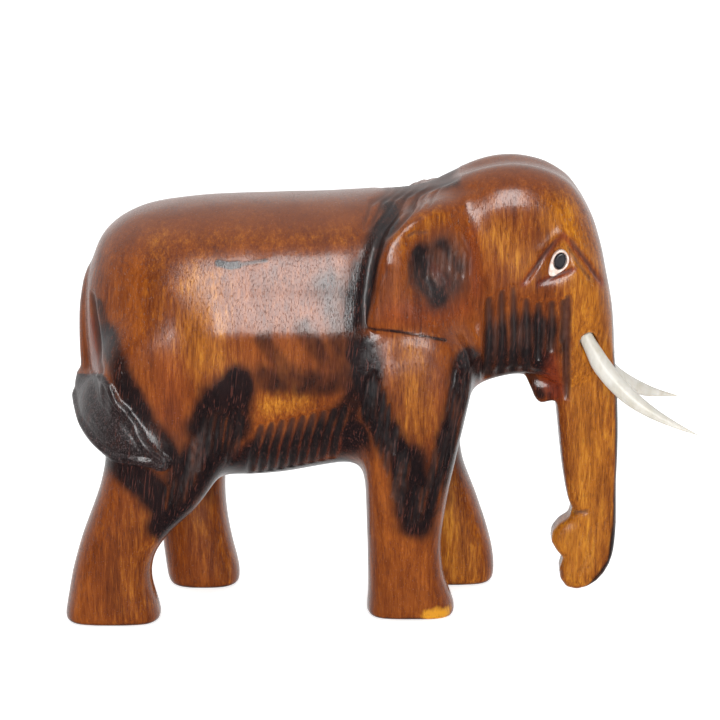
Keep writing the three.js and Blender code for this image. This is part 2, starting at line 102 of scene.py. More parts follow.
class Carving:
    """A copy of a CAD node as an even net of small quads, in millimetres, that can be carved."""

    def __init__(self, node, voxel):
        source = bpy.data.objects.new("source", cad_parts[node].data.copy())
        scene.collection.objects.link(source)
        remesh = source.modifiers.new("Remesh", "REMESH")
        remesh.mode = "VOXEL"
        remesh.voxel_size = voxel * MM
        evaluated = source.evaluated_get(bpy.context.evaluated_depsgraph_get())
        self.mesh = bpy.data.meshes.new_from_object(evaluated)
        bpy.data.objects.remove(source)
        count = len(self.mesh.vertices)
        self.points = np.empty(count * 3, np.float32)
        self.mesh.vertices.foreach_get("co", self.points)
        self.points = self.points.reshape(-1, 3).astype(float) / MM
        edges = np.empty(len(self.mesh.edges) * 2, np.int32)
        self.mesh.edges.foreach_get("vertices", edges)
        self.edges = edges.reshape(-1, 2)
        corners = np.empty(len(self.mesh.loops), np.int32)
        self.mesh.loops.foreach_get("vertex_index", corners)
        self.quads = corners.reshape(-1, 4)
        self.valence = np.bincount(self.edges.ravel(), minlength=count)

    def averaged(self, values, rounds):
        """Values, one row per point, evened: each round goes halfway to the neighbours' mean."""
        a, b = self.edges.T
        values = values.copy()
        for _ in range(rounds):
            for column in values.T:
                total = np.bincount(a, column[b], len(column)) + np.bincount(b, column[a], len(column))
                column += 0.5 * (total / self.valence - column)
        return values

    def smoothed_points(self, rounds):
        """The points with their small bumps gone and their larger form kept."""
        smooth = self.averaged(self.points, rounds)
        return smooth + self.averaged(self.points - smooth, rounds)

    def normals(self):
        corner = [self.points[self.quads[:, i]] for i in range(4)]
        area = np.cross(corner[2] - corner[0], corner[3] - corner[1])
        total = np.zeros_like(self.points)
        for i in range(4):
            for axis in range(3):
                total[:, axis] += np.bincount(self.quads[:, i], area[:, axis], len(total))
        return total / np.maximum(np.linalg.norm(total, axis=1, keepdims=True), 1e-9)

    def push(self, distance):
        """Moves each point out along its normal by its distance."""
        self.points += self.normals() * distance[:, None]

    def attribute(self, name, values):
        layer = self.mesh.attributes.new(name, "FLOAT", "POINT")
        layer.data.foreach_set("value", np.asarray(values, np.float32))

    def finish(self, name, slot, material, *nodes):
        """The carving as a shown piece that stands for the CAD nodes."""
        self.mesh.vertices.foreach_set("co", (self.points * MM).astype(np.float32).ravel())
        self.mesh.materials.clear()
        self.mesh.materials.append(material)
        self.mesh.shade_smooth()
        self.mesh.update()
        piece = bpy.data.objects.new(name, self.mesh)
        scene.collection.objects.link(piece)
        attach(piece, "root")
        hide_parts(*nodes)


# ---------------------------------------------------------------- side-view strokes


class SideView:
    """Where each point of the block lies in the side view, with the left legs' stride taken out."""

    def __init__(self, carving):
        x, y, z = carving.points.T
        self.outward = carving.normals()[:, 1] * np.sign(y)
        left = smoothstep(-2, 4, y)
        fore = smoothstep(-26, -12, x)
        stride = 0.26 * np.maximum(70 - z, 0) * fore + 0.6 * np.maximum(54 - z, 0) * (1 - fore)
        self.x = x - stride * left
        self.y = y
        self.z = z
        self.facing = smoothstep(0.1, 0.6, self.outward)
        self.cut = np.zeros(len(x))
        self.scraped = np.zeros(len(x))

    def on_ear(self):
        """1 on the ears, which stand furthest out, and 0 on the neck, for the points as carved so far."""
        return smoothstep(14, 18, abs(self.y))

    def near_path(self, path):
        """Distance to a line of side-view places, and how far along it the nearest place is, 0 to 1."""
        path = np.array(path, float)
        steps = np.diff(path, axis=0)
        lengths = np.hypot(*steps.T)
        starts = np.concatenate([[0], np.cumsum(lengths)])
        nearest = np.full(len(self.x), np.inf)
        along = np.zeros(len(self.x))
        for start, step, length, done in zip(path, steps, lengths, starts):
            dx = self.x - start[0]
            dz = self.z - start[1]
            t = np.clip((dx * step[0] + dz * step[1]) / length**2, 0, 1)
            distance = np.hypot(dx - t * step[0], dz - t * step[1])
            closer = distance < nearest
            nearest = np.where(closer, distance, nearest)
            along = np.where(closer, (done + t * length) / starts[-1], along)
        return nearest, along

    def groove(self, path, depth, width, where=1.0):
        """Adds a knife stroke that fades out at both ends."""
        distance, along = self.near_path(path)
        fade = np.sqrt(np.clip(np.minimum(along, 1 - along) / 0.18, 0, 1))
        self.cut = np.maximum(self.cut, depth * np.exp(-((distance / width) ** 2)) * fade * where)

    def scrape(self, path, width, where=1.0):
        """A thin line where the knife has lifted the charred skin off the redder wood."""
        distance, along = self.near_path(path)
        fade = np.sqrt(np.clip(np.minimum(along, 1 - along) / 0.3, 0, 1))
        self.scraped = np.maximum(self.scraped, np.exp(-((distance / width) ** 2)) * fade * where)

    def patch(self, path, radius):
        """A soft-edged patch, 1 on the path and nearly 0 two radii away."""
        distance, _ = self.near_path(path)
        return np.exp(-((distance / radius) ** 2))


def point_on(path, t):
    path = np.array(path, float)
    lengths = np.concatenate([[0], np.cumsum(np.hypot(*np.diff(path, axis=0).T))])
    return np.array([np.interp(t * lengths[-1], lengths, path[:, axis]) for axis in (0, 1)])


def scattered_strokes(view, path, spread, count, length, lean, depth, width, where=1.0):
    """Short parallel knife strokes scattered along a path. lean is how far they slant forwards."""
    for i in range(count):
        middle = point_on(path, (i + rng.uniform(0.1, 0.9)) / count)
        middle[0] += rng.uniform(-spread, spread)
        half = 0.5 * length * rng.uniform(0.7, 1.2)
        slant = half * (lean + rng.uniform(-0.04, 0.04))
        ends = np.array([middle - (slant, half), middle + (slant, half)])
        view.groove(ends, depth * rng.uniform(0.6, 1), width, where)
        view.scrape(ends + (1.6 * width, 0), width, where * rng.uniform(0.2, 0.9))


# ---------------------------------------------------------------- the block


EAR_EDGE = [
    (27.3, 128.8), (18.3, 127.8), (10.9, 126), (4.9, 122.6), (0.9, 117.4), (-1.5, 110), (-3.1, 101),
    (-3.9, 93.4),
]
EAR_MIDDLE = (18, 106)
TUFT_LINE = [(-85.8, 69.5), (-83.6, 64.6), (-78.2, 59.6), (-71.2, 55.2), (-64, 51)]
TUFT_TOP_SLOPE = 0.27
RIGHT_FLANK = -26


def inset(path, distance):
    """The path moved that far towards the middle of the ear."""
    path = np.array(path, float)
    inward = np.array(EAR_MIDDLE) - path
    return path + distance * inward / np.linalg.norm(inward, axis=1, keepdims=True)


def tuft_shape(view, margin=0.0):
    """1 on the tail's leaf-shaped tuft and 0 off it or within its margin. It hangs on the right only."""
    distance, along = view.near_path(TUFT_LINE)
    radius = 9.2 - 6.4 * smoothstep(0.35, 1, along) - margin
    below_tail = smoothstep(78.2, 77.4, view.z + TUFT_TOP_SLOPE * (view.y - RIGHT_FLANK))
    return smoothstep(radius, radius - 1, distance) * smoothstep(5, 2, view.y) * below_tail


def soften_block(block):
    """Sands broad forms smooth. The trunk, ear edges, lip, tail and tuft keep their crisper edges."""
    broad = block.smoothed_points(BROAD_ROUNDS)
    broadest = block.averaged(block.points, MUSCLE_ROUNDS)
    crisp = block.smoothed_points(CRISP_ROUNDS)
    crispest = block.smoothed_points(TRUNK_TIP_ROUNDS)
    view = SideView(block)
    haunch = view.patch([(-60, 86), (-52, 76)], 17) * view.facing
    shoulder = view.patch([(4, 84), (20, 80)], 9) * view.facing
    bowl = view.patch([(17.5, 112), (17.5, 102)], 10) * view.facing
    muscle = np.max([haunch, shoulder, bowl], axis=0)[:, None]
    broad = broadest * muscle + broad * (1 - muscle)
    x, y, z = block.points.T
    trunk = smoothstep(49, 55, x) * smoothstep(92, 84, z)
    lip = smoothstep(40, 44, x) * smoothstep(76, 70, z)
    ear = smoothstep(6, 3, view.near_path(EAR_EDGE)[0]) * smoothstep(13, 17, abs(y))
    tail = smoothstep(-82, -85, x) * smoothstep(50, 56, z)
    keep = np.max([trunk, lip, ear, tail, tuft_shape(view)], axis=0)[:, None]
    trunk_tip = (smoothstep(44, 48, x) * smoothstep(34, 30, z))[:, None]
    block.points = crisp * keep + broad * (1 - keep)
    block.points += (crispest - block.points) * trunk_tip


def ripple(points, length, count):
    """Slow unevenness from hand sanding, between -1 and 1."""
    total = np.zeros(len(points))
    for _ in range(count):
        direction = rng.normal(size=3)
        direction /= np.linalg.norm(direction)
        turn = 2 * math.pi / (length * rng.uniform(0.7, 1.5))
        total += np.sin(points @ direction * turn + rng.uniform(0, 2 * math.pi))
    return total / count


def cut_head(view):
    """Lid lines, cheek gouges and strokes, and the line between lip and trunk."""
    side = view.facing
    view.groove([(51.9, 116.1), (47.7, 110.4), (42.2, 102.3)], 0.6, 0.6, side)
    view.groove([(54.9, 116.2), (60.7, 108.4), (65.5, 101.3)], 0.6, 0.55, side)
    view.groove([(54.0, 114.4), (58.2, 107.8), (63.4, 101.4)], 0.5, 0.55, side)
    view.groove([(46.6, 102.3), (51.5, 104.5), (56.7, 106.6)], 0.5, 0.5, side)
    tops = [98.6, 100.6, 101.7, 98.1, 96.6, 97.1, 97.3]
    for i, top in enumerate(tops):
        x = 32.6 + 3.7 * i + rng.uniform(-0.5, 0.5)
        bottom = 72 if i < 4 else 78 + 2.5 * (i - 4)
        gouge = np.array([(x - 0.6, top), (x, 0.5 * (top + bottom)), (x - 0.2, bottom)])
        view.groove(gouge, rng.uniform(1, 1.6), 0.9, side)
        view.scrape(gouge + (1.8, -2), 0.9, 0.8 * side)
    scattered_strokes(view, [(33, 85), (51, 86)], 1, 18, 14, 0.03, 0.45, 0.5, side)
    view.groove([(55.2, 99), (55.4, 82), (56, 64.5)], 1.5, 0.9, side)


def cut_ear(view):
    """The scratched bowl and the small cut above it."""
    ear = view.facing * view.on_ear()
    view.groove([(7.2, 118.1), (10.1, 119.4), (13.9, 118.9)], 0.5, 0.5, ear)
    scattered_strokes(view, [(10, 107), (18, 111), (26, 108)], 2, 24, 9, 0.05, 0.5, 0.5, ear)
    scattered_strokes(view, [(11, 103), (24, 115)], 2, 14, 7, -0.5, 0.35, 0.45, ear)


def cut_flank(view):
    """Belly strokes and thigh strokes."""
    side = smoothstep(-0.35, 0.2, view.outward)
    for i in range(9):
        x = -38.6 + 3.05 * i
        low = 43 + 0.75 * i
        stroke = np.array([(x, low), (x + 1.6, low + 10), (x + 4.2, low + 19.5)])
        view.groove(stroke, 1.2, 0.9, side)
        view.scrape(stroke + (1.5, 0), 0.6, 0.9 * side)
    scattered_strokes(view, [(-57, 50), (-50, 60), (-41, 58)], 1, 22, 17, 0.14, 0.6, 0.55, side)
    scattered_strokes(view, [(-62, 40), (-54, 50)], 2, 10, 12, 0.16, 0.45, 0.5, side)


def cut_front_leg(view):
    """Two bands of slanted strokes that meet in a point half way down the leg."""
    side = view.facing
    rear_band = [(-2, 74), (2, 60), (6, 46), (9.5, 36)]
    front_band = [(23.5, 76), (20.5, 60), (16, 44), (12, 36)]
    scattered_strokes(view, rear_band, 3.2, 34, 13, 0.13, 0.7, 0.55, side)
    scattered_strokes(view, front_band, 2.4, 26, 12, 0.16, 0.6, 0.55, side)


def cut_neck(view):
    """Strokes that run from the crown along the top of each ear and down the shoulder."""
    top = smoothstep(112, 117, view.z)
    for i in range(5):
        start = (24 - 4.6 * i, 133 - 1.1 * i)
        middle = (11.5 - 3.6 * i, 127.6 - 0.6 * i)
        end = (1.5 - 1.6 * i, 117.5 + 0.4 * i)
        view.groove([start, middle, end], 0.8 - 0.08 * i, 0.65, top)
    scattered_strokes(view, [(-4, 121), (18, 129)], 1.5, 14, 6, 1.1, 0.4, 0.4, top)


def cut_tail(view):
    """The slit between tail and rump, and strokes along the tuft, which hangs on the right only."""
    slit = [(-84.9, 99), (-83.2, 86.5), (-82.0, 75.2)]
    view.groove(slit, 1.0, 0.8, smoothstep(0.1, 0.5, view.outward))
    tuft = tuft_shape(view)
    for i in range(7):
        offset = 2.2 * (i - 3)
        start = (-85 + 0.5 * offset, 66.5 + 0.8 * offset)
        middle = (-77 + 0.45 * offset, 58.6 + 0.7 * offset)
        end = (-65 + 0.1 * offset, 51.2 + 0.2 * offset)
        view.groove([start, middle, end], 0.18, 0.5, tuft)


def cut_trunk(view):
    """The edge of the flat facet above the trunk's tip, and fine strokes below it."""
    view.groove([(57.6, 28.3), (60.5, 28.8), (63.6, 29.3)], 0.6, 0.6, view.facing)
    scattered_strokes(view, [(60, 10), (66, 26)], 3, 10, 6, 0.2, 0.25, 0.5, view.facing)


def shape_forms(view):
    """How far the larger carved forms stand out of the block, or sink into it."""
    side = view.facing
    behind_fold = smoothstep(29.6, 31.6, view.x) * smoothstep(57, 50, view.x)
    cheek = behind_fold * smoothstep(101, 92, view.z) * smoothstep(68, 72, view.z)
    fold = view.patch([(29.2, 103), (30.3, 91), (29, 82), (25, 79)], 1.8)
    behind_ear = view.patch(inset(EAR_EDGE, -1.6), 1.5)
    ear_rim = view.patch(inset(EAR_EDGE, 2.2), 1.7) * view.on_ear()
    tragus = view.patch([(12.8, 111.2), (16.2, 107.8), (19.4, 103.8)], 1.0) * view.on_ear()
    brow = view.patch([(47.5, 112.4), (52.6, 117.6), (57.2, 113.6), (61.4, 107.6)], 1.6)
    flank = smoothstep(102, 88, view.z) * smoothstep(60, 74, view.z)
    flank *= smoothstep(-60, -47, view.x) * smoothstep(4, -8, view.x)
    haunch = view.patch([(-70, 70), (-60, 70)], 15)
    leaf = tuft_shape(view)
    leaf_rim = leaf - tuft_shape(view, 2.4)
    head = 0.6 * fold - 1.3 * cheek + 0.3 * brow
    ears = 0.2 * ear_rim - 0.4 * behind_ear + 0.3 * tragus
    return side * (head + ears + 1.8 * flank - 1.4 * haunch) + 1.1 * leaf_rim - 0.2 * leaf


def sink_eye(block, view):
    """Seats the inlaid whites: the wood under each one sinks below its face."""
    low, high = (np.array(corner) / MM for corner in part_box("eye_white_right"))
    middle = 0.5 * (low + high)
    across = np.hypot((view.x - middle[0]) / 3.7, (view.z - middle[2]) / 4.4)
    outer_face = view.facing * smoothstep(10, 12, abs(view.y))
    under = smoothstep(1.0, 0.86, across) * outer_face
    face = abs(low[1]) - 1.1
    sunk = np.sign(view.y) * np.minimum(abs(view.y), face)
    block.points[:, 1] += (sunk - view.y) * under


def bowl_mask(view):
    """The dull scorched hollow of the ear: 1 in its middle and 0 outside."""
    bowl = np.hypot((view.x - 17.5) / 10, (view.z - 107) / 13)
    return smoothstep(1.25, 0.35, bowl) * view.on_ear() * view.facing


def burn_and_shade_mask(view):
    """Where the torch has blackened the wood, and painted shade along the ear's rear and lower edges, on
    the lip's rear side, down the front of the head and trunk and at the foot of each leg: lines of
    side-view places with a radius and a strength.
    """
    outside = 0.3 + 0.7 * smoothstep(-0.3, 0.3, view.outward)
    lines = [
        ([(3, 124), (-2, 116), (-5, 108)], 2.6, 0.8),
        ([(-5, 108), (-7.5, 96), (-7, 84)], 3.8, 0.9),
        ([(-14, 104), (-10, 94), (-8, 76)], 5.4, 0.55),
        ([(-33, 77), (-22, 75.5), (-8, 76)], 4.6, 0.6),
        ([(-34, 89), (-27.6, 79)], 2.6, 0.55),
        ([(-22, 92), (-14, 79)], 3.0, 0.5),
        ([(-46.8, 110.4), (-43.6, 109.8), (-41, 110)], 1.0, 1.2),
        ([(-41, 110), (-33, 111.2)], 0.6, 0.7),
        ([(-41, 76), (-47, 71), (-52, 61)], 4.8, 0.95),
        ([(-41, 74), (-43, 60)], 4.8, 1.05),
        ([(-46.5, 62), (-49, 54), (-55, 46)], 8.2, 1.0),
        ([(-57, 43), (-63, 32)], 5.4, 1.0),
        ([(-42, 49), (-26.3, 52.5), (-10, 58)], 7.4, 1.0),
        ([(-12, 62), (-6.5, 72)], 4.4, 0.8),
        ([(-40, 42), (-12, 45)], 5.0, 1.0),
        ([(-82.2, 96), (-79.4, 86.5)], 1.6, 0.6),
        ([(-80, 88), (-75.4, 76), (-68, 62), (-61, 52)], 3.8, 0.85),
        ([(-78, 52), (-70, 46), (-61, 36)], 5.4, 0.95),
        ([(-5.2, 86), (-3.4, 76), (-0.6, 65), (4, 55), (8, 46), (10.6, 36)], 4.6, 1.05),
        ([(25.6, 80), (23.6, 71), (21, 60), (17, 44), (12.6, 35)], 4.2, 1.0),
        ([(8.8, 52), (10.4, 44), (10.6, 32)], 5.6, 0.95),
        ([(35, 86), (36, 76), (45, 77), (49, 87), (41, 89), (41, 78)], 4.6, 0.95),
        ([(51.6, 90), (53.4, 82)], 2.0, 0.6),
        ([(50.8, 66), (54.8, 36)], 0.9, 0.65),
        ([(25.6, 81), (30, 76)], 3.4, 1.0),
        # painted shade on the lip's rear side
        ([(43.8, 74), (48, 66)], 1.8, 0.8),
        ([(22, 131.6), (10, 128.6), (2, 124)], 1.6, 0.65),
        # painted shade down the front edge of the head and trunk
        ([(66, 112), (69.6, 96), (71.6, 60), (71.8, 30), (70.4, 13), (64, 4)], 0.9, 0.8),
        # painted shadow line along the ear's rear edge
        (EAR_EDGE[3:] + [(-4.4, 91.8)], 0.9, 0.8),
        # painted shadow line under the ear's lower edge
        ([(-4.4, 91.8), (5.9, 90.6), (14, 89.1), (19, 87.8)], 0.5, 0.75),
    ]
    burn_and_shade = np.zeros(len(view.x))
    for path, radius, strength in lines:
        distance, _ = view.near_path(path)
        burn_and_shade = np.maximum(burn_and_shade, strength * smoothstep(1.7 * radius, 0.35 * radius, distance) * outside)
    # painted contact shade at the foot of each leg, where it stands on the floor
    contact_shade = 0.55 * smoothstep(1.8, 0.5, view.z)
    bowl = bowl_mask(view)
    in_bowl = smoothstep(0, 0.3, bowl)
    rear_streak = in_bowl * view.patch([(11.4, 113), (12.6, 106), (17, 99.6)], 3.4)
    front_streak = in_bowl * view.patch([(18, 115), (23.6, 108)], 2.6)
    burn_and_shade = np.max([burn_and_shade, contact_shade, 0.45 * bowl, rear_streak, 0.8 * front_streak], axis=0)
    tail = smoothstep(-83.4, -84.6, view.x) * smoothstep(70, 76, view.z)
    return np.maximum(burn_and_shade * (1 - 0.5 * view.scraped) * (1 - tail), 1.1 * tuft_shape(view))


def raised(mask, view, patches):
    """The mask lifted to each patch's strength. A patch is a path, a radius and a strength."""
    for path, radius, strength in patches:
        mask = np.maximum(mask, strength * view.patch(path, radius))
    return mask


def gold_mask(view):
    """Where the stain is thin and the wood shows golden."""
    patches = [
        ([(-52, 104), (-51, 84)], 9.0, 0.65),
        ([(-63.8, 116), (-63.7, 92)], 5.0, 0.35),
        ([(35, 117), (44, 108)], 8.0, 0.55),
        ([(52, 122), (60, 106), (62, 96)], 8.0, 0.8),
        ([(62.2, 92), (63.2, 60), (64, 22), (61, 10)], 8.0, 0.95),
        ([(9, 85), (10.3, 62)], 7.0, 0.5),
        ([(-32, 68.6), (-21.8, 70.1)], 4.6, 0.55),
        ([(6, 118), (16, 123)], 5.0, 0.4),
        ([(-62, 116), (-8, 118)], 4.0, 0.25),
        ([(53, 22), (60, 12), (62, 24)], 7.0, 1.15),
        ([(-70, 32), (-74, 6)], 9.0, 0.3),
    ]
    left_foreleg = smoothstep(0, 4, view.y) * view.patch([(8, 40), (9, 4)], 9)
    return raised(0.6 * left_foreleg, view, patches)


def red_mask(view):
    """The redder places: the lip, the folds beside the trunk, round the eye and along cut edges."""
    patches = [
        ([(49.6, 78), (52.4, 67)], 4.0, 0.95),
        ([(55.4, 97), (55.6, 70)], 1.2, 0.6),
        ([(42.2, 102.3), (47.7, 110.4), (53.4, 117), (60.7, 108.2), (65.5, 101.1)], 1.5, 0.7),
        ([(46.6, 102.3), (56.5, 106.4)], 1.3, 0.8),
        ([(27, 118), (28, 100)], 3.0, 0.45),
        ([(12.8, 111.2), (19.4, 103.8)], 1.7, 0.8),
        ([(-60, 80), (-62, 66)], 8.0, 0.35),
        ([(4, 96), (24, 96)], 6.0, 0.45),
        ([(-84.5, 90), (-84, 76)], 2.5, 0.6),
        ([(-40, 50), (-10, 56)], 6.0, 0.7),
    ]
    return raised(np.zeros(len(view.x)), view, patches)


def build_block(material):
    block = Carving("elephant_body", BLOCK_VOXEL)
    soften_block(block)
    view = SideView(block)
    block.push(shape_forms(view) + 0.12 * ripple(block.points, 9, 24))
    for cut in (cut_head, cut_ear, cut_flank, cut_front_leg, cut_neck, cut_tail, cut_trunk):
        cut(view)
    block.push(-view.cut)
    sink_eye(block, view)
    block.points[:, 2] = np.maximum(block.points[:, 2], 0)
    # torch-blackened wood together with the painted shade lines and the painted contact shade at the feet
    block.attribute("burn_and_shade", burn_and_shade_mask(view))
    # painted shadow line along the ear's rear edge: it darkens and dulls the wood there
    behind_ear = 0.8 * view.patch(inset(EAR_EDGE[3:], -0.8), 1.3)
    dull = np.max([smoothstep(0.05, 0.7, view.cut), 0.8 * bowl_mask(view), behind_ear], axis=0)
    block.attribute("dull", dull)
    block.attribute("upward", smoothstep(0.4, 0.9, block.normals()[:, 2]))
    block.attribute("gold", gold_mask(view))
    block.attribute("red", red_mask(view))
    block.attribute("end_grain", tuft_shape(view))
    right_side = smoothstep(2, -2, view.y)
    block.attribute("bare", view.patch([(15, 2), (19.4, 1.8)], 3.2) * right_side)
    block.finish("carved_block", "wood", material, "elephant_body")


# ---------------------------------------------------------------- inlays and tusks


def build_smooth_copy(node, name, slot, material, voxel, rounds):
    """A small piece with its facets sanded away."""
    piece = Carving(node, voxel)
    piece.points = piece.smoothed_points(rounds)
    piece.finish(name, slot, material, node)


# ---------------------------------------------------------------- materials


class Graph:
    """Short-hand for building a material's nodes."""

    # the colour sockets of a Mix node, which share their names with other kinds
    MIX_FIRST = 6
    MIX_SECOND = 7
    MIX_RESULT = 2

    def __init__(self, name):
        self.material = bpy.data.materials.new(name)
        self.material.use_nodes = True
        self.tree = self.material.node_tree
        self.shader = self.tree.nodes["Principled BSDF"]

    def node(self, kind, settings=None, **inputs):
        """A node with its settings, and its inputs set to values or joined to other nodes' outputs."""
        made = self.tree.nodes.new(kind)
        for key, value in (settings or {}).items():
            setattr(made, key, value)
        for key, value in inputs.items():
            self.feed(made.inputs[key.replace("_", " ")], value)
        return made

    def feed(self, socket, value):
        if isinstance(value, bpy.types.NodeSocket):
            self.tree.links.new(value, socket)
        else:
            socket.default_value = value

    def math(self, operation, *values):
        made = self.tree.nodes.new("ShaderNodeMath")
        made.operation = operation
        for socket, value in zip(made.inputs, values):
            self.feed(socket, value)
        return made.outputs[0]

    def mixed(self, share, first, second):
        made = self.node("ShaderNodeMix", {"data_type": "RGBA"})
        self.feed(made.inputs["Factor"], share)
        self.feed(made.inputs[self.MIX_FIRST], first)
        self.feed(made.inputs[self.MIX_SECOND], second)
        return made.outputs[self.MIX_RESULT]

    def ramp(self, value, *stops):
        """A colour ramp through (place, colour) stops."""
        made = self.node("ShaderNodeValToRGB", Fac=value)
        elements = made.color_ramp.elements
        elements[0].position, elements[0].color = stops[0][0], (*stops[0][1], 1)
        elements[1].position, elements[1].color = stops[-1][0], (*stops[-1][1], 1)
        for place, colour in stops[1:-1]:
            elements.new(place).color = (*colour, 1)
        return made.outputs["Color"]

    def levels(self, value, low, high):
        """value stretched so that low becomes 0 and high becomes 1."""
        made = self.node("ShaderNodeMapRange", {"interpolation_type": "SMOOTHSTEP"}, Value=value)
        made.inputs["From Min"].default_value = low
        made.inputs["From Max"].default_value = high
        return made.outputs["Result"]

    def attribute(self, name):
        return self.node("ShaderNodeAttribute", {"attribute_name": name}).outputs["Fac"]

    def stretched(self, across, along, lean):
        """Coordinates in which one unit is `across` millimetres sideways and `along` up the grain."""
        place = self.node("ShaderNodeTexCoord").outputs["Object"]
        scale = (across * MM, across * MM, along * MM)
        turned = {"Vector": place, "Rotation": (0, lean, 0), "Scale": scale}
        return self.node("ShaderNodeMapping", {"vector_type": "TEXTURE"}, **turned).outputs["Vector"]

    def noise(self, across, along, detail=2.0, roughness=0.5, distortion=0.0, lean=0.0):
        made = self.node(
            "ShaderNodeTexNoise",
            Vector=self.stretched(across, along, lean),
            Scale=1.0,
            Detail=detail,
            Roughness=roughness,
            Distortion=distortion,
        )
        return made.outputs["Fac"]

    def bump(self, height, strength, distance, below=None):
        made = self.node("ShaderNodeBump", Height=height, Strength=strength, Distance=distance * MM)
        if below is not None:
            self.feed(made.inputs["Normal"], below)
        return made.outputs["Normal"]


def wood_tone(graph, streaks, fibres):
    """Light and dark along the grain, evener where the surface faces up."""
    figure = graph.noise(9, 50, 3, 0.6, 0.6)
    tone = graph.math("MULTIPLY_ADD", figure, 0.38, graph.math("MULTIPLY", streaks, 0.38))
    tone = graph.math("MULTIPLY_ADD", fibres, 0.24, tone)
    contrast = graph.math("SUBTRACT", tone, MIDDLE_TONE)
    evened = graph.math("MULTIPLY_ADD", contrast, 0.4, MIDDLE_TONE)
    return graph.mixed(graph.attribute("upward"), tone, evened)


def stain_colour(graph, tone, ragged):
    """Red-brown stain, golden where it is thin and redder in places."""
    stained = graph.ramp(
        tone, (0.36, (0.075, 0.013, 0.002)), (0.5, (0.175, 0.037, 0.003)), (0.64, (0.30, 0.075, 0.006))
    )
    golden = graph.ramp(
        tone, (0.37, (0.170, 0.042, 0.002)), (0.5, (0.35, 0.108, 0.005)), (0.63, (0.58, 0.235, 0.014))
    )
    reddish = graph.ramp(tone, (0.39, (0.080, 0.010, 0.003)), (0.61, (0.25, 0.036, 0.006)))
    gold = graph.math("ADD", graph.attribute("gold"), graph.math("MULTIPLY", ragged, 1.5))
    colour = graph.mixed(graph.levels(gold, 0.1, 1.0), stained, golden)
    return graph.mixed(graph.levels(graph.attribute("red"), 0.05, 0.9), colour, reddish)


def char_and_shade_colour(graph, tone):
    """Blackened wood, also the colour of painted shade, with slanted scratches that show the redder wood
    under it.
    """
    charred_and_shaded = graph.ramp(tone, (0.38, (0.004, 0.003, 0.004)), (0.64, (0.017, 0.007, 0.007)))
    scratches = graph.levels(graph.noise(0.5, 9, 2, 0.6, lean=0.13), 0.56, 0.68)
    return graph.mixed(graph.math("MULTIPLY", scratches, 0.55), charred_and_shaded, SCRATCHED_CHAR)


def wood_roughness(graph, speckle, burnt_and_shaded, dull, end_grain):
    """Uneven lacquer, duller in cuts and on end grain."""
    roughness = graph.math("MULTIPLY_ADD", speckle, 0.14, 0.18)
    roughness = graph.math("MULTIPLY_ADD", burnt_and_shaded, -0.04, roughness)
    roughness = graph.math("MULTIPLY_ADD", dull, 0.35, roughness)
    return graph.math("MULTIPLY_ADD", end_grain, 0.1, roughness)


def wood_relief(graph, burnt_and_shaded, pores, fibres, speckle):
    """Fine knife strokes in the char, open pores, raised fibres and lacquer speckle."""
    strokes = graph.noise(0.7, 9, 2, 0.6)
    normal = graph.bump(graph.math("MULTIPLY", strokes, burnt_and_shaded), 0.4, 0.2)
    normal = graph.bump(graph.math("MULTIPLY", pores, -1.0), 0.6, 0.16, normal)
    normal = graph.bump(fibres, 0.35, 0.12, normal)
    return graph.bump(speckle, 0.35, 0.08, normal)


def wood_material():
    """Lacquered hardwood, grain upright, stained in patches and blackened with a torch, with painted
    shade along some edges and at the feet.
    """
    graph = Graph("lacquered_wood")
    streaks = graph.noise(1.2, 11, 4, 0.65, 0.3)
    fibres = graph.noise(0.38, 4, 3, 0.65)
    pores = graph.levels(graph.noise(0.26, 2.4, 1, 0.5), 0.60, 0.72)
    speckle = graph.noise(0.35, 0.5, 2, 0.7)
    clouds = graph.math("SUBTRACT", graph.noise(7, 12, 3, 0.6), MIDDLE_TONE)
    ragged = graph.math("MULTIPLY_ADD", streaks, 0.5, graph.math("MULTIPLY", fibres, 0.4))
    ragged = graph.math("SUBTRACT", ragged, 0.45)
    dull = graph.attribute("dull")
    end_grain = graph.attribute("end_grain")

    tone = wood_tone(graph, streaks, fibres)
    colour = stain_colour(graph, tone, ragged)
    # dark stain in the cuts and the ear's bowl, and painted shade along the ear's rear edge
    colour = graph.mixed(graph.math("MULTIPLY", dull, 0.75), colour, DARK_STAIN_AND_SHADE)
    # torch-blackened wood and painted shade along edges and at the feet
    burn_and_shade = graph.math("MULTIPLY_ADD", ragged, 0.35, graph.attribute("burn_and_shade"))
    burnt_and_shaded = graph.levels(graph.math("ADD", clouds, burn_and_shade), 0.0, 0.9)
    colour = graph.mixed(burnt_and_shaded, colour, char_and_shade_colour(graph, tone))
    specks = graph.levels(graph.noise(0.4, 0.4, 2, 0.7), 0.52, 0.66)
    specks = graph.math("MULTIPLY", specks, end_grain)
    colour = graph.mixed(graph.math("MULTIPLY", specks, 0.8), colour, END_GRAIN_SPECK)
    bare = graph.math("MULTIPLY_ADD", clouds, 2.0, graph.attribute("bare"))
    colour = graph.mixed(graph.levels(bare, 0.45, 0.9), colour, BARE_WOOD)
    colour = graph.mixed(graph.math("MULTIPLY", pores, 0.4), colour, DARK_STAIN_AND_SHADE)

    shader = graph.shader.inputs
    graph.feed(shader["Base Color"], colour)
    graph.feed(shader["Roughness"], wood_roughness(graph, speckle, burnt_and_shaded, dull, end_grain))
    graph.feed(shader["Normal"], wood_relief(graph, burnt_and_shaded, pores, fibres, speckle))
    shader["Coat Weight"].default_value = 0.25
    shader["Coat Roughness"].default_value = 0.12
    return graph.material


